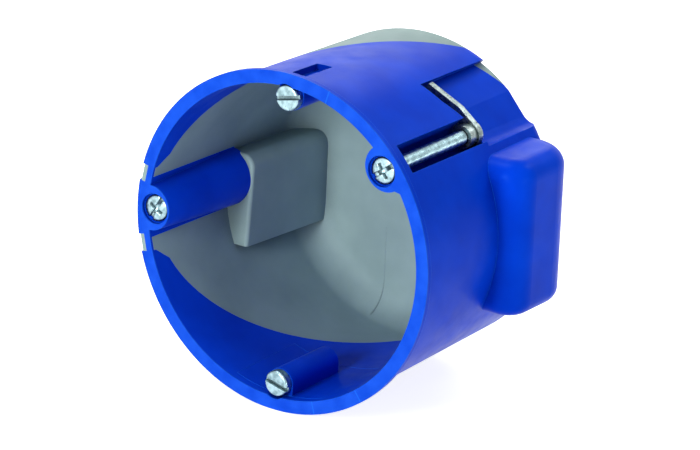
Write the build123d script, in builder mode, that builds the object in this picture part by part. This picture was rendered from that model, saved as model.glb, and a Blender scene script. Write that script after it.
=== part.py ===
from build123d import *
import os
from math import cos, radians, sin, sqrt, tan

# Round cavity-wall socket back box in two materials: a hard shell that carries the screws,
# and a soft membrane that closes the rear and one side.
# Frame: the mouth lies in the XZ plane and faces -Y, +Y runs into the wall, +Z is up,
# and the origin is the centre of the rim's front face. All sizes are in millimetres.

# Cup
flange_radius = 35.25
flange_thickness = 1.2
flange_lip = 1.45
draft_angle = 1.3
wall = 1.3
depth = 51.5
rear_corner_round = 3.5
floor_round = 6.5

# Parting between shell and membrane, an oblique plane through the vertical,
# with a lap in the middle of the wall. The rear wall is all membrane.
parting_depth = 37.1
parting_slope = 1.07
parting_lap = 1.2

# Soft fingers beside the left boss, each with a tongue that fills a notch in the flange
finger_angles = (168.1, 193.0)
finger_width = 3.6
finger_flare = 3.0
finger_flare_end = 5.2
tongue_depth = 1.35
tongue_recess = 0.5

# Device screws, one above and one below the mouth, each in a U-shaped boss
device_angles = {"top": 90.0, "bottom": -90.0}
device_screw_inset = 3.8
device_thread = 3.2
device_screw_length = 14.0
device_head = 5.5
device_head_height = 1.8
device_head_depth = 0.4
device_boss_diameter = 5.8
device_boss_length = 16.0
device_slot_tilts = {"top": 12.0, "bottom": -14.0}

# Opening in the wall over the upper device screw
window_width = 3.8
window_start = 4.9
window_length = 9.1
window_offset = -0.5
window_cut = 1.7

# Claw screws, each with a claw on its far end
right_claw_angle = 41.0
left_claw_angle = 180.0
claw_screw_inset = 2.9
claw_thread = 3.0
claw_screw_length = 30.0
claw_head = 5.6
claw_head_depth = 0.3
claw_head_height = 0.65
claw_head_rise = 0.4
claw_head_cone = 1.3
claw_seat_diameter = 6.4
claw_seat_depth = 0.85
right_slot_tilt = 35.0
left_slot_tilt = 60.0

# Cuts in the screw heads
head_edge_round = 0.6
slot_cut_width = 0.9
slot_cut_depth = 0.8
cross_width = 0.8
cross_span = 3.4
cross_depth = 1.1

# Conical boss around each claw screw
boss_radius = 4.75
boss_rear_radius = 6.15
boss_offset = 1.2
boss_length = 27.2
boss_foot = 6.4
boss_gusset = 5.8

# Slot for each claw screw and pocket for its claw
slot_width = 6.2
slot_start = 4.9
slot_rear = 32.6
pocket_low = -3.1
pocket_high = 13.1
pocket_bend = 8.0
pocket_front_low = 29.2
pocket_front_mid = 26.8
pocket_front_high = 25.8
pocket_floor_drop = 4.0
pocket_floor_rear_drop = 6.0
pocket_rear = 31.9
left_pocket_trim = 0.3
left_pocket_shift = 0.8

# Block inside the cup that walls in a pocket
block_low = -5.6
block_high = 13.7
block_front_low = 26.4
block_front_high = 25.0
block_low_round = 3.0
block_edge_round = 0.8

# Recess behind the right pocket, with a flat, a flared lower side, a stepped rear edge
# and a soft upper rear corner
recess_drop = 2.6
recess_flat_drop = 3.0
recess_flare_start = -0.8
recess_flare_round = 3.7
recess_rear_gap = 1.4
recess_rear_step = 1.2
soft_corner_side = 6.0
soft_corner_gap = 3.9
soft_corner_root = 3.9

# Claw, a bent plate with a threaded collar
claw_plate_front = 30.2
claw_plate = 1.4
claw_eye_radius = 2.8
claw_collar_diameter = 4.8
claw_collar_length = 2.2
claw_bend = 5.4
claw_bend_angle = 14.0
claw_reach = 12.6
claw_shoulder = 1.1
claw_edge_fall = 0.4
claw_tip_width = 1.6

# Side bulge, open to the inside
bulge_front = 28.0
bulge_rear_gap = 2.3
bulge_bottom = -15.5
bulge_top = 17.0
bulge_proud = 4.3
bulge_overlap = 10.7
bulge_front_round = 5.5
bulge_rear_round = 8.0
bulge_top_round = 4.0
bulge_bottom_round = 3.0

# Fits
running_clearance = 0.05
head_clearance = 0.25

# Cutting tools run this far past the part
overshoot = 10.0

# Sizes worked out from those above
slope = tan(radians(draft_angle))
body_radius = flange_radius - flange_lip
cavity_radius = body_radius - wall
cavity_depth = depth - wall
far_out = flange_radius + overshoot
behind = depth + overshoot
device_screw_radius = body_radius - device_screw_inset
claw_screw_radius = body_radius - claw_screw_inset
pocket_floor = claw_screw_radius - pocket_floor_drop
pocket_floor_rear = claw_screw_radius - pocket_floor_rear_drop
recess_radius = body_radius - recess_drop
recess_flat = body_radius - recess_flat_drop
recess_rear = depth - recess_rear_gap
soft_corner_depth = depth - soft_corner_gap
bulge_root = cavity_radius - bulge_overlap
bulge_reach = body_radius + bulge_proud
bulge_rear = depth - bulge_rear_gap
device_boss_front = device_head_depth + device_head_height + running_clearance
claw_dome_radius = ((claw_head / 2) ** 2 + claw_head_rise**2) / (2 * claw_head_rise)
claw_angles = (right_claw_angle, left_claw_angle)


def across(angle, at_depth=0):
    """Plane across the cup's axis: local x runs outward at the angle, local y to its left."""
    turn = radians(angle)
    return Plane(origin=(0, at_depth, 0), x_dir=(cos(turn), 0, sin(turn)), z_dir=(0, -1, 0))


def edge_on(angle, radius):
    """Plane across the radius: local x runs to the left of the angle, local y into the wall."""
    tangent = across(angle).y_dir
    return Plane(origin=across(angle).x_dir * radius, x_dir=tangent, z_dir=tangent.cross(Vector(0, 1, 0)))


def outward_prism(angle, radius, outline):
    """Prism that runs outward from a radius, from its side and depth outline."""
    with BuildPart() as prism:
        with BuildSketch(edge_on(angle, radius)):
            with BuildLine():
                Polyline(*outline, close=True)
            make_face()
        extrude(amount=-far_out)
    return prism.part


def turned(outline):
    """Solid of revolution about the Y axis from its radius and depth outline."""
    with BuildPart() as solid:
        with BuildSketch(Plane.XY):
            with BuildLine():
                Polyline(*outline, close=True)
            make_face()
        revolve(axis=Axis.Y)
    return solid.part


# Cup and side bulge
def cup_solid(inset, rear, corner):
    """Solid of the tapered body, from the mouth to the rear, with a rounded rear corner."""
    front_radius = body_radius - inset
    with BuildPart() as cup:
        with BuildSketch(Plane.XY) as profile:
            with BuildLine():
                Polyline(
                    (0, 0),
                    (front_radius, 0),
                    (front_radius - slope * rear, rear),
                    (0, rear),
                    close=True,
                )
            make_face()
            fillet(profile.vertices().group_by(Axis.Y)[-1].sort_by(Axis.X)[-1], corner)
        revolve(axis=Axis.Y)
    return cup.part


def bulge_solid(inset):
    """Rounded block of the side bulge, smaller all round by the inset."""
    with BuildPart() as block:
        with BuildSketch(Plane.XY.offset(bulge_bottom + inset)) as outline:
            with BuildLine():
                Polyline(
                    (bulge_root, bulge_front + inset),
                    (bulge_reach - inset, bulge_front + inset),
                    (bulge_reach - inset, bulge_rear - inset),
                    (bulge_root, bulge_rear - inset),
                    close=True,
                )
            make_face()
            front_corner = outline.vertices().group_by(Axis.X)[-1].sort_by(Axis.Y)[0]
            fillet(front_corner, bulge_front_round - inset)
            rear_corner = outline.vertices().group_by(Axis.Y)[-1].sort_by(Axis.X)[-1]
            fillet(rear_corner, bulge_rear_round - inset)
        extrude(amount=bulge_top - bulge_bottom - 2 * inset)
        for place, radius in ((-1, bulge_top_round), (0, bulge_bottom_round)):
            face = block.faces().sort_by(Axis.Z)[place]
            fillet(face.edges().sort_by(Axis.X)[1:], radius - inset)
    return block.part


# Bosses, slots and pockets for the claw screws
def claw_boss(angle):
    """Conical boss that grows towards its rear end, set a little outside the screw's axis."""
    boss = turned(((0, 0), (boss_radius, 0), (boss_rear_radius, boss_length), (0, boss_length)))
    return boss.moved(Location(across(angle).x_dir * (claw_screw_radius + boss_offset)))


def boss_gusset_solid(angle):
    """Web from the low side of a boss to the wall."""
    centre = claw_screw_radius + boss_offset
    with BuildPart() as gusset:
        with BuildSketch(across(angle)):
            with BuildLine():
                Polyline(
                    (centre - boss_radius, 0),
                    (centre, -boss_gusset),
                    (far_out, -boss_gusset),
                    (far_out, 0),
                    close=True,
                )
            make_face()
        extrude(amount=-boss_length)
    return gusset.part


def claw_prism(angle, outline, floor_front, floor_rear):
    """Block beside a claw screw from its side and depth outline, open outward, with a sloping floor."""
    outward = across(angle).x_dir
    front = outline[0][1]
    run = outward * (floor_rear - floor_front) + Vector(0, depth - front, 0)
    floor = Plane(
        origin=outward * floor_front + Vector(0, front, 0),
        x_dir=run,
        z_dir=across(angle).y_dir.cross(run),
    )
    with BuildPart() as prism:
        add(outward_prism(angle, min(floor_front, floor_rear), outline))
        split(bisect_by=floor, keep=Keep.BOTTOM)
    return prism.part


def claw_pocket(angle, trim, shift, rear, floor_rear):
    """Space for a claw's eye and arm, with a front wall that follows the bent arm."""
    outline = (
        (pocket_low, pocket_front_low),
        (slot_width / 2, pocket_front_low),
        (pocket_bend, pocket_front_mid + shift),
        (pocket_high - trim, pocket_front_high + shift),
        (pocket_high - trim, rear),
        (pocket_low, rear),
    )
    return claw_prism(angle, outline, pocket_floor, floor_rear)


def claw_block(angle, rear, floor_rear):
    """Raised block inside the cup that walls in a claw's pocket."""
    outline = (
        (block_low, block_front_low),
        (block_high, block_front_high),
        (block_high, rear),
        (block_low, rear),
    )
    outward = Axis((0, 0, 0), across(angle).x_dir)
    leftward = Axis((0, 0, 0), across(angle).y_dir)
    with BuildPart() as block:
        add(claw_prism(angle, outline, pocket_floor - wall, floor_rear - wall))
        inner_face = block.faces().sort_by(outward)[0]
        fillet(inner_face.edges().sort_by(leftward)[0], block_low_round)
        front_face = block.faces().sort_by(Axis.Y)[0]
        fillet(front_face.edges().sort_by(outward)[0], block_edge_round)
    return block.part


def claw_slot(angle):
    """Channel around a claw screw, open outward."""
    with BuildPart() as slot:
        with BuildSketch(across(angle, slot_start)):
            with Locations((claw_screw_radius, 0)):
                Circle(slot_width / 2)
                Rectangle(far_out - claw_screw_radius, slot_width, align=(Align.MIN, Align.CENTER))
        extrude(amount=-(slot_rear - slot_start))
    return slot.part


def claw_screw_seat(angle):
    """Counterbore, countersink and clearance hole for a claw screw."""
    seat = claw_seat_diameter / 2
    hole = claw_thread / 2 + running_clearance
    past_slot = slot_start + wall
    outline = (
        (0, 0),
        (seat, 0),
        (seat, claw_seat_depth),
        (claw_head / 2 + running_clearance, claw_seat_depth),
        (hole, claw_seat_depth + claw_head_cone),
        (hole, past_slot),
        (0, past_slot),
    )
    return turned(outline).moved(Location(across(angle).x_dir * claw_screw_radius))


# Recess behind the right pocket
def recess_solid(angle, inset, high, front):
    """Shallow recess from a depth to behind the cup: round floor, flat and flared low side."""
    floor = recess_radius - inset
    flat = recess_flat - inset
    flare = recess_flare_round + inset
    low = recess_flare_start
    with BuildPart() as recess:
        with BuildSketch(across(angle, front)):
            with BuildLine():
                RadiusArc((sqrt(floor**2 - high**2), high), (flat, sqrt(floor**2 - flat**2)), floor)
                Line((flat, sqrt(floor**2 - flat**2)), (flat, low))
                RadiusArc((flat, low), (flat + flare, low - flare), -flare)
                Polyline(
                    (flat + flare, low - flare),
                    (far_out, low - flare),
                    (far_out, high),
                    (sqrt(floor**2 - high**2), high),
                )
            make_face()
        extrude(amount=-(behind - front))
    return recess.part


# Space inside the cup
with BuildPart() as cavity:
    add(cup_solid(wall, cavity_depth, floor_round))
    add(bulge_solid(wall))
    for angle in device_angles.values():
        with BuildSketch(across(angle, device_boss_front)):
            with Locations((device_screw_radius, 0)):
                Circle(device_boss_diameter / 2)
                Rectangle(overshoot, device_boss_diameter, align=(Align.MIN, Align.CENTER))
        extrude(amount=-device_boss_length, mode=Mode.SUBTRACT)
    for angle in claw_angles:
        add(claw_boss(angle), mode=Mode.SUBTRACT)
    add(boss_gusset_solid(right_claw_angle), mode=Mode.SUBTRACT)
    add(claw_block(left_claw_angle, depth, pocket_floor_rear), mode=Mode.SUBTRACT)
    add(claw_block(right_claw_angle, pocket_rear + wall, pocket_floor), mode=Mode.SUBTRACT)
    add(recess_solid(right_claw_angle, wall, block_high, pocket_rear), mode=Mode.SUBTRACT)

# Whole moulding, before it is parted into two materials
with BuildPart() as housing:
    add(cup_solid(0, depth, rear_corner_round))
    with BuildSketch(Plane.XZ):
        Circle(flange_radius)
    extrude(amount=-flange_thickness)
    add(bulge_solid(0))
    add(cavity.part, mode=Mode.SUBTRACT)
    for angle in claw_angles:
        add(claw_slot(angle), mode=Mode.SUBTRACT)
        add(claw_screw_seat(angle), mode=Mode.SUBTRACT)
    add(
        claw_pocket(left_claw_angle, left_pocket_trim, left_pocket_shift, behind, pocket_floor_rear),
        mode=Mode.SUBTRACT,
    )
    add(claw_pocket(right_claw_angle, 0, 0, pocket_rear, pocket_floor), mode=Mode.SUBTRACT)
    add(recess_solid(right_claw_angle, 0, pocket_high, pocket_rear), mode=Mode.SUBTRACT)
    add(recess_solid(right_claw_angle, recess_rear_step, pocket_high, recess_rear), mode=Mode.SUBTRACT)
    for angle in device_angles.values():
        with BuildSketch(across(angle)):
            with Locations((device_screw_radius, 0)):
                Circle(device_head / 2 + head_clearance)
        extrude(amount=-device_boss_front, mode=Mode.SUBTRACT)
        with BuildSketch(across(angle, device_boss_front)):
            with Locations((device_screw_radius, 0)):
                Circle(device_thread / 2 + running_clearance)
        extrude(amount=-(device_screw_length + head_clearance), mode=Mode.SUBTRACT)
    with BuildSketch(across(0, window_start)):
        with Locations((window_offset, body_radius)):
            Rectangle(window_width, 2 * window_cut)
    extrude(amount=-window_length, mode=Mode.SUBTRACT)
    for angle in finger_angles:
        with BuildSketch(across(angle)):
            with Locations((flange_radius - tongue_recess, 0)):
                Rectangle(overshoot, finger_width, align=(Align.MIN, Align.CENTER))
        extrude(amount=-flange_thickness, mode=Mode.SUBTRACT)


# Zones that stay soft or hard whatever the side of the parting
def tongue_solid(angle):
    """Front half of a notch in the flange."""
    with BuildPart() as tongue:
        with BuildSketch(across(angle)):
            with Locations((flange_radius - tongue_depth, 0)):
                Rectangle(overshoot, finger_width, align=(Align.MIN, Align.CENTER))
        extrude(amount=-flange_thickness / 2)
    return tongue.part


def finger_solid(angle):
    """Flared finger from behind a tongue to the membrane."""
    half = finger_width / 2
    outline = (
        (-half, flange_thickness / 2),
        (half, flange_thickness / 2),
        (half, flange_thickness),
        (half + finger_flare, finger_flare_end),
        (half + finger_flare, parting_depth),
        (-half - finger_flare, parting_depth),
        (-half - finger_flare, finger_flare_end),
        (-half, flange_thickness),
    )
    return outward_prism(angle, cavity_radius - wall, outline)


with BuildPart() as soft_zone:
    with BuildSketch(across(0, cavity_depth)):
        Circle(far_out)
    extrude(amount=-overshoot)
    corner = (
        (soft_corner_side, cavity_depth),
        (pocket_high, soft_corner_depth),
        (pocket_high, depth),
        (soft_corner_side, depth),
    )
    add(outward_prism(right_claw_angle, recess_flat - soft_corner_root, corner))
    for angle in finger_angles:
        add(finger_solid(angle))

with BuildPart() as hard_zone:
    with BuildSketch(Plane.XZ):
        Circle(far_out)
    extrude(amount=-flange_thickness)
    add(soft_zone.part, mode=Mode.SUBTRACT)
    with BuildSketch(across(left_claw_angle)):
        Rectangle(far_out, 2 * boss_foot, align=(Align.MIN, Align.CENTER))
        Circle(cavity_radius - slope * boss_length, mode=Mode.SUBTRACT)
    extrude(amount=-boss_length)
    add(claw_boss(left_claw_angle))

with BuildPart() as hard_extra:
    add(housing.part)
    add(hard_zone.part, mode=Mode.INTERSECT)


def parting(at_depth):
    """Oblique plane between the two materials, facing the rear."""
    return Plane(origin=(0, at_depth, 0), x_dir=(0, 0, 1), z_dir=(-parting_slope, 1, 0))


def before_parting():
    """Part of the moulding before the parting, with the lap in mid wall."""
    mid_wall = cup_solid(wall / 2, depth - wall / 2, (rear_corner_round + floor_round) / 2)
    with BuildPart() as inner_layer:
        add(housing.part)
        add(mid_wall, mode=Mode.INTERSECT)
        split(bisect_by=parting(parting_depth), keep=Keep.BOTTOM)
    with BuildPart() as outer_layer:
        add(housing.part)
        add(mid_wall, mode=Mode.SUBTRACT)
        split(bisect_by=parting(parting_depth + parting_lap), keep=Keep.BOTTOM)
    with BuildPart() as both:
        add(inner_layer.part)
        add(outer_layer.part)
    return both.part


# Hard shell with the rim, the screw bosses, the right pocket and the side bulge
with BuildPart() as front_shell:
    add(before_parting())
    add(soft_zone.part, mode=Mode.SUBTRACT)
    add(hard_extra.part)
    for angle in finger_angles:
        add(tongue_solid(angle), mode=Mode.SUBTRACT)

# Soft membrane with the rear wall, the left pocket and the fingers
with BuildPart() as rear_membrane:
    add(housing.part)
    add(front_shell.part, mode=Mode.SUBTRACT)


# Screws
def device_screw(angle, tilt):
    """Pan-head screw with one slot."""
    head_back = device_head_depth + device_head_height
    tip = head_back + device_screw_length
    head = device_head / 2
    thread = device_thread / 2
    with BuildPart() as screw:
        with BuildSketch(Plane.XY) as profile:
            with BuildLine():
                Polyline(
                    (0, device_head_depth),
                    (head, device_head_depth),
                    (head, head_back),
                    (thread, head_back),
                    (thread, tip),
                    (0, tip),
                    close=True,
                )
            make_face()
            fillet(profile.vertices().group_by(Axis.Y)[0].sort_by(Axis.X)[-1], head_edge_round)
            chamfer(profile.vertices().group_by(Axis.Y)[-1].sort_by(Axis.X)[-1], thread / 2)
        revolve(axis=Axis.Y)
        with BuildSketch(across(tilt, device_head_depth)):
            Rectangle(2 * device_head, slot_cut_width)
        extrude(amount=-slot_cut_depth, mode=Mode.SUBTRACT)
    return screw.part.moved(Location(across(angle).x_dir * device_screw_radius))


def claw_screw(angle, tilt):
    """Raised countersunk screw with a combined slot and cross, for a claw on its far end."""
    edge = claw_head / 2
    thread = claw_thread / 2
    face = claw_head_depth
    tip = face + claw_head_height + claw_head_cone + claw_screw_length
    with BuildPart() as screw:
        with BuildSketch(Plane.XY) as profile:
            with BuildLine():
                RadiusArc((0, face), (edge, face + claw_head_rise), -claw_dome_radius)
                Polyline(
                    (edge, face + claw_head_rise),
                    (edge, face + claw_head_height - running_clearance),
                    (thread, face + claw_head_height + claw_head_cone - running_clearance),
                    (thread, tip),
                    (0, tip),
                    (0, face),
                )
            make_face()
            chamfer(profile.vertices().group_by(Axis.Y)[-1].sort_by(Axis.X)[-1], thread / 2)
        revolve(axis=Axis.Y)
        with BuildSketch(across(tilt, face)):
            Rectangle(2 * claw_head, slot_cut_width)
        extrude(amount=-slot_cut_depth, mode=Mode.SUBTRACT)
        with BuildSketch(across(tilt, face)):
            Rectangle(cross_width, cross_span)
            Rectangle(cross_span, cross_width)
        extrude(amount=-cross_depth, mode=Mode.SUBTRACT)
    return screw.part.moved(Location(across(angle).x_dir * claw_screw_radius))


# Claws
def claw(angle):
    """Sheet-metal claw: an eye with a threaded collar and an arm bent towards the mouth."""
    outer = claw_screw_radius + claw_eye_radius
    inner = claw_screw_radius - claw_eye_radius
    tip = claw_screw_radius - claw_edge_fall
    back = claw_plate_front + claw_plate
    fall = (claw_reach - claw_bend) * tan(radians(claw_bend_angle))
    with BuildPart() as arm:
        with BuildSketch(across(angle, claw_plate_front - claw_collar_length - fall)):
            with BuildLine():
                Polyline(
                    (outer, 0),
                    (outer - claw_shoulder, claw_bend),
                    (tip, claw_reach),
                    (tip - claw_tip_width, claw_reach),
                    (inner, claw_bend),
                    (inner, 0),
                    close=True,
                )
            make_face()
            with Locations((claw_screw_radius, 0)):
                Circle(claw_eye_radius)
        extrude(amount=-(claw_collar_length + fall + 2 * claw_plate))
        with BuildSketch(edge_on(angle, 0)):
            with BuildLine():
                Polyline(
                    (-claw_eye_radius, claw_plate_front),
                    (claw_bend, claw_plate_front),
                    (claw_reach, claw_plate_front - fall),
                    (claw_reach, back - fall),
                    (claw_bend, back),
                    (-claw_eye_radius, back),
                    close=True,
                )
            make_face()
        extrude(amount=far_out, both=True, mode=Mode.INTERSECT)
        with BuildSketch(across(angle, claw_plate_front - claw_collar_length)):
            with Locations((claw_screw_radius, 0)):
                Circle(claw_collar_diameter / 2)
        extrude(amount=-(claw_collar_length + claw_plate / 2))
        with BuildSketch(across(angle, claw_plate_front - claw_collar_length)):
            with Locations((claw_screw_radius, 0)):
                Circle(claw_thread / 2 + running_clearance)
        extrude(amount=-(claw_collar_length + claw_plate), mode=Mode.SUBTRACT)
    return arm.part


pieces = {
    "front_shell": front_shell.part,
    "rear_membrane": rear_membrane.part,
    "device_screw_top": device_screw(device_angles["top"], device_slot_tilts["top"]),
    "device_screw_bottom": device_screw(device_angles["bottom"], device_slot_tilts["bottom"]),
    "claw_screw_right": claw_screw(right_claw_angle, right_slot_tilt),
    "claw_screw_left": claw_screw(left_claw_angle, left_slot_tilt),
    "claw_right": claw(right_claw_angle),
    "claw_left": claw(left_claw_angle),
}
os.makedirs("parts", exist_ok=True)
for name, piece in pieces.items():
    piece.label = name
    export_step(piece, "parts/" + name + ".step")
    print(name, len(piece.solids()), round(piece.volume, 1))
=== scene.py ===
from math import ceil, cos, pi, radians, sin, sqrt
import bmesh
import bpy
from mathutils import Matrix, Vector


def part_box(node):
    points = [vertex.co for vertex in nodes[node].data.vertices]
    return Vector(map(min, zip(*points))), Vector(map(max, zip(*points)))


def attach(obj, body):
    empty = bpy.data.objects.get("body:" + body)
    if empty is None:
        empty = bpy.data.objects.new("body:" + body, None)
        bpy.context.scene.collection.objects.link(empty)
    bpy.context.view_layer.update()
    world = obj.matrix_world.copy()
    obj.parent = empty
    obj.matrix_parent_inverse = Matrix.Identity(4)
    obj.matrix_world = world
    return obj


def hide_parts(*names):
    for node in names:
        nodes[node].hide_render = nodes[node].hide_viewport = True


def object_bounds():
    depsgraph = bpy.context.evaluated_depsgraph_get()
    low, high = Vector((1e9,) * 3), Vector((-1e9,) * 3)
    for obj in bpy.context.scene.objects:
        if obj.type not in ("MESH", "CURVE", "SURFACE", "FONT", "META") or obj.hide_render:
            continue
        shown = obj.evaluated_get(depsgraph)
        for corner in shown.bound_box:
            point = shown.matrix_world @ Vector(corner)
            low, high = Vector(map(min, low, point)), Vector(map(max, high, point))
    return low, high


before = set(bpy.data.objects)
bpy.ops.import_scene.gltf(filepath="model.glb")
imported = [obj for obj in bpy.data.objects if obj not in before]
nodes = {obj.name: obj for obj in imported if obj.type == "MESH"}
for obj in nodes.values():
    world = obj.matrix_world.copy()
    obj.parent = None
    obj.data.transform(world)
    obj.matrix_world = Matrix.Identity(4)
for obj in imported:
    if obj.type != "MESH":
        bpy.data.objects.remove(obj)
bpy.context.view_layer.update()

# Camera: angles in degrees, distances in metres, lens and sensor in millimetres
CAMERA_AZIMUTH = 34.067
CAMERA_ELEVATION = 19.434
CAMERA_ROLL = 2.488
CAMERA_DISTANCE = 0.900
CAMERA_SIDE = 0.0138998
CAMERA_RISE = 0.0036217
CAMERA_LENS = 234.7
CAMERA_SENSOR = 36
CAMERA_NEAR = 0.05

# Studio: lengths in metres, powers in watts; each lamp has a place, a size and a power
FLOOR_SIZE = 3.0
FLOOR_COLOUR = (0.85, 0.85, 0.85, 1)
FLOOR_ROUGHNESS = 0.9
FLOOR_SPECULAR = 0.1
FLOOR_GLOW = 0.85
WORLD_STRENGTH = 0.12
LAMPS = {
    "key": ((-0.05, -0.85, 0.30), (0.22, 0.22), 4.0),
    "front": ((0.05, -0.90, 0.02), (0.30, 0.30), 3.8),
    "top": ((-0.30, -0.05, 0.80), (0.30, 0.30), 3.2),
    "rear": ((-0.40, 0.65, 0.38), (0.45, 0.45), 1.1),
    "back": ((0.30, 0.50, 0.60), (0.30, 0.30), 1.7),
    "side": ((0.80, -0.10, -0.10), (0.30, 0.30), 4.0),
}

MM = 0.001

# Claw screws' threads, in millimetres; faces behind HEAD_END and points behind SHANK_SURE are the shank's
SHANK_START = 2.2
HEAD_END = 2.42
SHANK_SURE = 4.4
THREAD_PITCH = 0.5
THREAD_DEPTH = 0.13
THREAD_RUN_IN = 1.5
THREAD_SIDES = 24
THREAD_ROWS_PER_TURN = 6
TIP_CHAMFER = 0.75
WELD_DISTANCE = 0.001
SHARP_ANGLE = 40

# Mould marks, in millimetres: the shell's bore, the insert round the lower boss and the floor's line
MARK_RADIUS = 0.055
SHELL_BORE = 32.5
SHELL_TAPER = 0.0227
INSERT_HALF_WIDTH = 10.6
INSERT_FRONT = 2.0
INSERT_REAR = 21.9
INSERT_STEPS = 12
FLOOR_LINE_X = -8.2
FLOOR_LINE_TOP = -12.0
FLOOR_LINE_BEND = -20.2
FLOOR_LINE_TURN = 9
FLOOR_LINE_TURNS = 9
FLOOR_Y = 50.2
FLOOR_FLAT = 24.86
FLOOR_ROUND = 6.5

# Masks and bumps of the materials: lengths in millimetres, the rim marks' angles in degrees
RIM_MARKS = (72.9, -53.5, -73.6)
RIM_MARK_WIDTH = 0.09
RIM_DEPTH = 0.3
EDGE_ROUND = 0.13
EDGE_SAMPLES = 4
EDGE_COSINES = (0.995, 0.90)
# Reach of the shade painted into the metal parts' hollows
METAL_SHADE_REACH = 0.9
# Reach and share of the shade painted into the plastics' hollows and corners
PLASTIC_SHADE_REACH = 7.0
HOLLOW_SAMPLES = 8
HOLLOW_OPENNESS = (0.85, 0.45)
PLASTIC_SHADE_SHARE = 0.6
PLASTIC_BUMP = 0.06
METAL_BUMP = 0.05
METAL_LINE_BUMP = 0.25
METAL_PATCH_BUMP = 0.2

# Noises of the materials: scale in features per metre and detail; the ranges are levels of a noise
PLASTIC_CLOUDS = (90, 3)
RIM_CLOUDS = (240, 4)
PLASTIC_PATCHES = (260, 4)
PLASTIC_GRAIN = (5200, 2)
PLASTIC_FLOW = (700, 2)
FLOW_STRETCH = (1, 0.12, 1)
FLOW_SHARE = 0.5
METAL_PATCHES = (900, 4)
METAL_LINES = (2600, 3)
PLASTIC_RANGE = (0.35, 0.65)
METAL_RANGE = (0.35, 0.6)
ROUGHNESS_RANGE = (0.3, 0.7)

# Colours, linear
BLUE = (0.0008, 0.060, 0.77, 1)
BLUE_DEEP = (0.0005, 0.046, 0.66, 1)
# Painted shade for the blue shell's hollows and corners
BLUE_PAINTED_SHADE = (0.0002, 0.016, 0.30, 1)
# Painted highlight along the blue shell's sharp edges, also the colour of the rim's fine marks
BLUE_EDGE_HIGHLIGHT = (0.016, 0.170, 0.90, 1)
# Paler tones painted on the rim's front face as the light that falls on it
BLUE_RIM_LIT = (0.012, 0.100, 0.78, 1)
BLUE_RIM_LIT_DEEP = (0.006, 0.070, 0.68, 1)
BLUE_SHEEN = (0.2, 0.85, 1.0, 1)
GREY = (0.305, 0.430, 0.420, 1)
GREY_DEEP = (0.255, 0.365, 0.360, 1)
# Painted shade for the grey membrane's hollows and corners
GREY_PAINTED_SHADE = (0.085, 0.125, 0.130, 1)
# Painted highlight along the grey membrane's sharp edges
GREY_EDGE_HIGHLIGHT = (0.380, 0.500, 0.515, 1)
GREY_SHEEN = (0.8, 0.95, 1.0, 1)
HEAD_ZINC = (0.40, 0.58, 0.63, 1)
HEAD_DULL = (0.20, 0.31, 0.34, 1)
CLAW_ZINC = (0.38, 0.46, 0.45, 1)
CLAW_DULL = (0.17, 0.22, 0.22, 1)
# Near-black painted shade for the metal parts' slots, threads and other hollows
METAL_PAINTED_SHADE = (0.020, 0.030, 0.034, 1)


def new_material(name):
    """A material with an empty tree, its principled shader and its output."""
    material = bpy.data.materials.new(name)
    material.use_nodes = True
    tree = material.node_tree
    tree.nodes.clear()
    output = tree.nodes.new("ShaderNodeOutputMaterial")
    shader = tree.nodes.new("ShaderNodeBsdfPrincipled")
    tree.links.new(shader.outputs["BSDF"], output.inputs["Surface"])
    return material, tree, shader


def noise(tree, scale, detail, stretch=(1, 1, 1)):
    """Noise in the object's own metres, with features of about 1/scale."""
    coords = tree.nodes.new("ShaderNodeTexCoord")
    mapping = tree.nodes.new("ShaderNodeMapping")
    mapping.inputs["Scale"].default_value = stretch
    texture = tree.nodes.new("ShaderNodeTexNoise")
    texture.inputs["Scale"].default_value = scale
    texture.inputs["Detail"].default_value = detail
    tree.links.new(coords.outputs["Object"], mapping.inputs["Vector"])
    tree.links.new(mapping.outputs["Vector"], texture.inputs["Vector"])
    return texture.outputs["Fac"]


def ramp(tree, value, low, high, start, end):
    """Colour ramp from low to high, between two levels of the value."""
    node = tree.nodes.new("ShaderNodeValToRGB")
    node.color_ramp.elements[0].position = start
    node.color_ramp.elements[0].color = low
    node.color_ramp.elements[1].position = end
    node.color_ramp.elements[1].color = high
    tree.links.new(value, node.inputs["Fac"])
    return node.outputs["Color"]


def spread(tree, value, low, high):
    """The value spread from a low to a high number."""
    node = tree.nodes.new("ShaderNodeMapRange")
    node.inputs["From Min"].default_value, node.inputs["From Max"].default_value = ROUGHNESS_RANGE
    node.inputs["To Min"].default_value = low
    node.inputs["To Max"].default_value = high
    tree.links.new(value, node.inputs["Value"])
    return node.outputs["Result"]


def soft_edges(tree):
    """Normals rounded over sharp edges, and a mask that is one on those edges."""
    bevel = tree.nodes.new("ShaderNodeBevel")
    bevel.samples = EDGE_SAMPLES
    bevel.inputs["Radius"].default_value = EDGE_ROUND * MM
    surface = tree.nodes.new("ShaderNodeNewGeometry")
    product = tree.nodes.new("ShaderNodeVectorMath")
    product.operation = "DOT_PRODUCT"
    tree.links.new(bevel.outputs["Normal"], product.inputs[0])
    tree.links.new(surface.outputs["Normal"], product.inputs[1])
    mask = tree.nodes.new("ShaderNodeMapRange")
    mask.inputs["From Min"].default_value, mask.inputs["From Max"].default_value = EDGE_COSINES
    tree.links.new(product.outputs["Value"], mask.inputs["Value"])
    return bevel.outputs["Normal"], mask.outputs["Result"]


def blended(tree, share, first, second):
    """Colour that goes from the first to the second with the share."""
    node = tree.nodes.new("ShaderNodeMix")
    node.data_type = "RGBA"
    tree.links.new(share, node.inputs["Factor"])
    for socket, colour in (("A", first), ("B", second)):
        target = next(i for i in node.inputs if i.name == socket and i.type == "RGBA")
        if isinstance(colour, tuple):
            target.default_value = colour
        else:
            tree.links.new(colour, target)
    return next(o for o in node.outputs if o.type == "RGBA")


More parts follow.
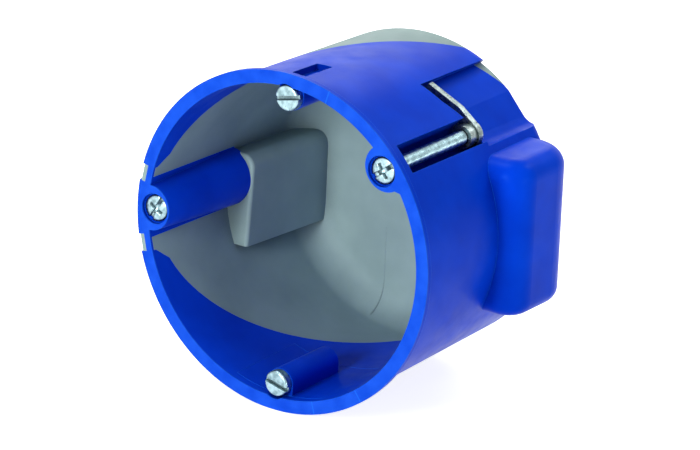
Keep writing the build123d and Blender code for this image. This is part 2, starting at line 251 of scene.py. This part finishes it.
def bump(tree, shader, heights, distance, normal):
    """Chain of bumps on the shader, from pairs of a height and its strength."""
    for height, strength in heights:
        node = tree.nodes.new("ShaderNodeBump")
        node.inputs["Strength"].default_value = strength
        node.inputs["Distance"].default_value = distance
        tree.links.new(height, node.inputs["Height"])
        tree.links.new(normal, node.inputs["Normal"])
        normal = node.outputs["Normal"]
    tree.links.new(normal, shader.inputs["Normal"])


def shade_in_hollows(tree, reach, most=1.0):
    """Mask of hollows narrower than the reach, zero on open faces, where shade is painted into the
    colour.
    """
    node = tree.nodes.new("ShaderNodeAmbientOcclusion")
    node.samples = HOLLOW_SAMPLES
    node.inputs["Distance"].default_value = reach * MM
    mask = tree.nodes.new("ShaderNodeMapRange")
    mask.inputs["From Min"].default_value, mask.inputs["From Max"].default_value = HOLLOW_OPENNESS
    mask.inputs["To Max"].default_value = most
    tree.links.new(node.outputs["AO"], mask.inputs["Value"])
    return mask.outputs["Result"]


def place_mask(tree, limits):
    """Mask of where every limit holds.

    A limit is an axis, the change to the place along it or None, a length, and True where the mask lies
    above that length.
    """
    coords = tree.nodes.new("ShaderNodeTexCoord")
    mask = None
    for axis, change, limit, above in limits:
        along = tree.nodes.new("ShaderNodeVectorMath")
        along.operation = "DOT_PRODUCT"
        along.inputs[1].default_value = axis
        tree.links.new(coords.outputs["Object"], along.inputs[0])
        value = along.outputs["Value"]
        if change:
            changed = tree.nodes.new("ShaderNodeMath")
            changed.operation = change
            tree.links.new(value, changed.inputs[0])
            value = changed.outputs["Value"]
        test = tree.nodes.new("ShaderNodeMath")
        test.operation = "GREATER_THAN" if above else "LESS_THAN"
        test.inputs[1].default_value = limit
        tree.links.new(value, test.inputs[0])
        if mask:
            both = tree.nodes.new("ShaderNodeMath")
            both.operation = "MULTIPLY"
            tree.links.new(mask, both.inputs[0])
            tree.links.new(test.outputs["Value"], both.inputs[1])
            mask = both.outputs["Value"]
        else:
            mask = test.outputs["Value"]
    return mask


def lit_rim_face(tree):
    """Mask of the rim's front face, where paler tones are painted as the light that falls on that face.
    """
    return place_mask(tree, (((0, 1, 0), None, RIM_DEPTH * MM, False),))


def rim_mark(tree, angle):
    """Mask of one fine radial mark across the rim's front face."""
    turn = radians(angle)
    limits = (
        ((-sin(turn), 0, cos(turn)), "ABSOLUTE", RIM_MARK_WIDTH * MM, False),
        ((cos(turn), 0, sin(turn)), None, SHELL_BORE * MM, True),
        ((0, 1, 0), None, RIM_DEPTH * MM, False),
    )
    return place_mask(tree, limits)


def moulded_plastic(name, colours, sheen, roughness, specular, grain, rim=None):
    """Satin thermoplastic: clouds of colour, painted shade in its hollows, painted highlights along its
    edges, flow lines and a fine grain.
    """
    dark, light, painted_shade, edge_highlight = colours
    material, tree, shader = new_material(name)
    shader.inputs["Specular IOR Level"].default_value = specular
    shader.inputs["Specular Tint"].default_value = sheen
    normal, edges = soft_edges(tree)
    colour = ramp(tree, noise(tree, *PLASTIC_CLOUDS), dark, light, *PLASTIC_RANGE)
    # Painted shade: hollows and corners darkened through the AO mask
    colour = blended(tree, shade_in_hollows(tree, PLASTIC_SHADE_REACH, PLASTIC_SHADE_SHARE), colour, painted_shade)
    # Painted light: the rim's front face gets paler tones for the light falling on it
    if rim:
        face = ramp(tree, noise(tree, *RIM_CLOUDS), *rim, *PLASTIC_RANGE)
        colour = blended(tree, lit_rim_face(tree), colour, face)
    # Painted highlight: sharp edges lightened through the bevel's edge mask
    colour = blended(tree, edges, colour, edge_highlight)
    # The rim's fine marks are real marks, drawn in the pale colour of the painted edge highlight
    for angle in RIM_MARKS if rim else ():
        colour = blended(tree, rim_mark(tree, angle), colour, edge_highlight)
    tree.links.new(colour, shader.inputs["Base Color"])
    patches = noise(tree, *PLASTIC_PATCHES)
    tree.links.new(spread(tree, patches, *roughness), shader.inputs["Roughness"])
    fine = noise(tree, *PLASTIC_GRAIN)
    flow = noise(tree, *PLASTIC_FLOW, FLOW_STRETCH)
    bump(tree, shader, ((flow, grain * FLOW_SHARE), (fine, grain)), PLASTIC_BUMP * MM, normal)
    return material


def zinc_plate(name, colours, roughness, stretch):
    """Zinc plate with fine drawn lines, duller patches and painted shade in its hollows."""
    material, tree, shader = new_material(name)
    shader.inputs["Metallic"].default_value = 1.0
    patches = noise(tree, *METAL_PATCHES)
    colour = ramp(tree, patches, *colours, *METAL_RANGE)
    # Painted shade: the metal's hollows darkened through the AO mask
    colour = blended(tree, shade_in_hollows(tree, METAL_SHADE_REACH), colour, METAL_PAINTED_SHADE)
    tree.links.new(colour, shader.inputs["Base Color"])
    lines = noise(tree, *METAL_LINES, stretch)
    tree.links.new(spread(tree, lines, *roughness), shader.inputs["Roughness"])
    heights = ((lines, METAL_LINE_BUMP), (patches, METAL_PATCH_BUMP))
    bump(tree, shader, heights, METAL_BUMP * MM, soft_edges(tree)[0])
    return material


def thread_radius(depth, share, tip, radius):
    """Radius of a thread's surface at a depth and at a share of a turn, in millimetres."""
    crest = 0.5 - 0.5 * cos(2 * pi * (depth / THREAD_PITCH - share))
    cut = THREAD_DEPTH * min(1, (depth - SHANK_START) / THREAD_RUN_IN)
    return min(radius - cut * (1 - crest), radius - (depth - tip + TIP_CHAMFER))


def threaded_screw(name, material):
    """Copy of a claw screw that has a real thread in place of its plain shank."""
    low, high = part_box(name)
    centre = (low + high) / 2
    tip = high.y / MM
    radius = max(
        sqrt((v.co.x - centre.x) ** 2 + (v.co.z - centre.z) ** 2)
        for v in nodes[name].data.vertices
        if v.co.y > SHANK_SURE * MM
    ) / MM
    mesh = bmesh.new()
    mesh.from_mesh(nodes[name].data)
    bmesh.ops.remove_doubles(mesh, verts=mesh.verts, dist=WELD_DISTANCE * MM)
    shank = [face for face in mesh.faces if face.calc_center_median().y > HEAD_END * MM]
    bmesh.ops.delete(mesh, geom=shank, context="FACES")
    steps = ceil((tip - SHANK_START) / THREAD_PITCH * THREAD_ROWS_PER_TURN)
    last = None
    for step in range(steps + 1):
        depth = SHANK_START + (tip - SHANK_START) * step / steps
        ring = []
        for side in range(THREAD_SIDES):
            share = side / THREAD_SIDES
            out = thread_radius(depth, share, tip, radius) * MM
            place = Vector((out * cos(2 * pi * share), 0, out * sin(2 * pi * share)))
            ring.append(mesh.verts.new(place + Vector((centre.x, depth * MM, centre.z))))
        for side in range(THREAD_SIDES if last else 0):
            after = (side + 1) % THREAD_SIDES
            mesh.faces.new((last[side], last[after], ring[after], ring[side]))
        last = ring
    mesh.faces.new(last)
    bmesh.ops.recalc_face_normals(mesh, faces=mesh.faces)
    for face in mesh.faces:
        face.smooth = True
    data = bpy.data.meshes.new(name + "_threaded")
    mesh.to_mesh(data)
    mesh.free()
    data.set_sharp_from_angle(angle=radians(SHARP_ANGLE))
    data.materials.append(material)
    screw = bpy.data.objects.new(name + "_threaded", data)
    bpy.context.scene.collection.objects.link(screw)
    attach(screw, name)
    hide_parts(name)


def mould_mark(name, points, material):
    """Fine raised line on the moulding, half sunk in its surface, as a mould's parting leaves."""
    curve = bpy.data.curves.new(name, "CURVE")
    curve.dimensions = "3D"
    curve.bevel_depth = MARK_RADIUS * MM
    curve.bevel_resolution = 2
    line = curve.splines.new("POLY")
    line.points.add(len(points) - 1)
    for target, point in zip(line.points, points):
        target.co = (*(MM * c for c in point), 1)
    curve.materials.append(material)
    mark = bpy.data.objects.new(name, curve)
    bpy.context.scene.collection.objects.link(mark)
    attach(mark, "housing")


def bore_point(side, depth):
    """Point on the shell's lower inner wall, from its side and depth."""
    bore = SHELL_BORE - SHELL_TAPER * depth
    return (side, depth, -sqrt(bore**2 - side**2))


def insert_outline():
    """Outline that an insert in the mould leaves around the lower device boss."""
    steps = [step / INSERT_STEPS for step in range(INSERT_STEPS + 1)]
    sides = [INSERT_HALF_WIDTH * (2 * s - 1) for s in steps]
    depths = [INSERT_FRONT + (INSERT_REAR - INSERT_FRONT) * s for s in steps]
    front = [bore_point(side, INSERT_FRONT) for side in sides]
    right = [bore_point(INSERT_HALF_WIDTH, depth) for depth in depths]
    rear = [bore_point(-side, INSERT_REAR) for side in sides]
    left = [bore_point(-INSERT_HALF_WIDTH, depth) for depth in reversed(depths)]
    return front + right[1:] + rear[1:] + left[1:]


def floor_line():
    """Line down the membrane's floor and round its lower corner."""
    points = [(FLOOR_LINE_X, FLOOR_Y, height) for height in (FLOOR_LINE_TOP, FLOOR_LINE_BEND)]
    for step in range(FLOOR_LINE_TURNS):
        turn = radians(90 - FLOOR_LINE_TURN * step)
        out = FLOOR_FLAT + FLOOR_ROUND * cos(turn)
        depth = FLOOR_Y - FLOOR_ROUND * (1 - sin(turn))
        points.append((FLOOR_LINE_X, depth, -sqrt(out**2 - FLOOR_LINE_X**2)))
    return points


def dress(name, material):
    """Gives a CAD node one material."""
    mesh = nodes[name].data
    mesh.materials.clear()
    mesh.materials.append(material)


def area_light(name, place, target, size, power):
    """Soft rectangular lamp that points at a target."""
    light = bpy.data.lights.new(name, "AREA")
    light.shape = "RECTANGLE"
    light.size = size[0]
    light.size_y = size[1]
    light.energy = power
    lamp = bpy.data.objects.new(name, light)
    lamp.location = place
    aim = Vector(target) - Vector(place)
    lamp.rotation_euler = aim.to_track_quat("-Z", "Y").to_euler()
    bpy.context.scene.collection.objects.link(lamp)


def build_camera():
    """Camera at the photograph's angle, distance and roll."""
    turn = Matrix.Rotation(radians(CAMERA_AZIMUTH), 3, "Z")
    right = turn @ Vector((1, 0, 0))
    back = turn @ Matrix.Rotation(radians(-CAMERA_ELEVATION), 3, "X") @ Vector((0, -1, 0))
    up = back.cross(right)
    roll = Matrix.Rotation(radians(CAMERA_ROLL), 3, back)
    right = roll @ right
    up = roll @ up
    data = bpy.data.cameras.new("camera")
    data.lens = CAMERA_LENS
    data.sensor_width = CAMERA_SENSOR
    data.clip_start = CAMERA_NEAR
    camera = bpy.data.objects.new("camera", data)
    place = right * CAMERA_SIDE + up * CAMERA_RISE + back * CAMERA_DISTANCE
    camera.matrix_world = Matrix.Translation(place) @ Matrix((right, up, back)).transposed().to_4x4()
    bpy.context.scene.collection.objects.link(camera)
    bpy.context.scene.camera = camera


def white_rays(tree):
    """One for rays from the camera and for mirrored and refracted rays, zero for the rest."""
    path = tree.nodes.new("ShaderNodeLightPath")
    mirrored = tree.nodes.new("ShaderNodeMath")
    mirrored.operation = "MAXIMUM"
    tree.links.new(path.outputs["Is Glossy Ray"], mirrored.inputs[0])
    tree.links.new(path.outputs["Is Transmission Ray"], mirrored.inputs[1])
    seen = tree.nodes.new("ShaderNodeMath")
    seen.operation = "MAXIMUM"
    tree.links.new(path.outputs["Is Camera Ray"], seen.inputs[0])
    tree.links.new(mirrored.outputs["Value"], seen.inputs[1])
    return seen.outputs["Value"]


def build_floor(height):
    """Pale floor that looks white to the camera and keeps the shadow."""
    mesh = bpy.data.meshes.new("floor")
    half = FLOOR_SIZE / 2
    corners = [(x * half, y * half, height) for x, y in ((-1, -1), (1, -1), (1, 1), (-1, 1))]
    mesh.from_pydata(corners, [], [(0, 1, 2, 3)])
    floor = bpy.data.objects.new("floor", mesh)
    bpy.context.scene.collection.objects.link(floor)
    material, tree, shader = new_material("floor_white")
    shader.inputs["Base Color"].default_value = FLOOR_COLOUR
    shader.inputs["Roughness"].default_value = FLOOR_ROUGHNESS
    shader.inputs["Specular IOR Level"].default_value = FLOOR_SPECULAR
    shader.inputs["Emission Color"].default_value = (1, 1, 1, 1)
    glow = tree.nodes.new("ShaderNodeMath")
    glow.operation = "MULTIPLY"
    glow.inputs[1].default_value = FLOOR_GLOW
    tree.links.new(white_rays(tree), glow.inputs[0])
    tree.links.new(glow.outputs["Value"], shader.inputs["Emission Strength"])
    mesh.materials.append(material)


def build_world():
    """White surroundings: full white to the camera and in reflections, plain fill light otherwise."""
    world = bpy.data.worlds.new("studio")
    bpy.context.scene.world = world
    world.use_nodes = True
    tree = world.node_tree
    background = tree.nodes["Background"]
    background.inputs["Color"].default_value = (1, 1, 1, 1)
    level = tree.nodes.new("ShaderNodeMapRange")
    level.inputs["To Min"].default_value = WORLD_STRENGTH
    level.inputs["To Max"].default_value = 1.0
    tree.links.new(white_rays(tree), level.inputs["Value"])
    tree.links.new(level.outputs["Result"], background.inputs["Strength"])


build_camera()
build_world()
low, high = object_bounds()
build_floor(low[2])
centre = (Vector(low) + Vector(high)) / 2
for name, (place, size, power) in LAMPS.items():
    area_light(name, place, centre, size, power)

blue = moulded_plastic(
    "shell_blue",
    colours=(BLUE_DEEP, BLUE, BLUE_PAINTED_SHADE, BLUE_EDGE_HIGHLIGHT),
    sheen=BLUE_SHEEN,
    roughness=(0.28, 0.40),
    specular=0.05,
    grain=0.16,
    # rim tones: painted light on the rim's front face
    rim=(BLUE_RIM_LIT_DEEP, BLUE_RIM_LIT),
)
grey = moulded_plastic(
    "membrane_grey",
    colours=(GREY_DEEP, GREY, GREY_PAINTED_SHADE, GREY_EDGE_HIGHLIGHT),
    sheen=GREY_SHEEN,
    roughness=(0.50, 0.62),
    specular=0.30,
    grain=0.50,
)
screw_metal = zinc_plate("screw_zinc", (HEAD_DULL, HEAD_ZINC), roughness=(0.24, 0.42), stretch=(1, 1, 1))
claw_metal = zinc_plate("claw_zinc", (CLAW_DULL, CLAW_ZINC), roughness=(0.22, 0.40), stretch=(1, 0.2, 1))
dress("front_shell", blue)
dress("rear_membrane", grey)
for name in ("device_screw_top", "device_screw_bottom", "claw_screw_right", "claw_screw_left"):
    dress(name, screw_metal)
for name in ("claw_right", "claw_left"):
    dress(name, claw_metal)
for name in ("claw_screw_right", "claw_screw_left"):
    threaded_screw(name, screw_metal)
mould_mark("insert_mark", insert_outline(), blue)
mould_mark("floor_mark", floor_line(), grey)

view = bpy.context.scene.view_settings
view.view_transform = "Standard"
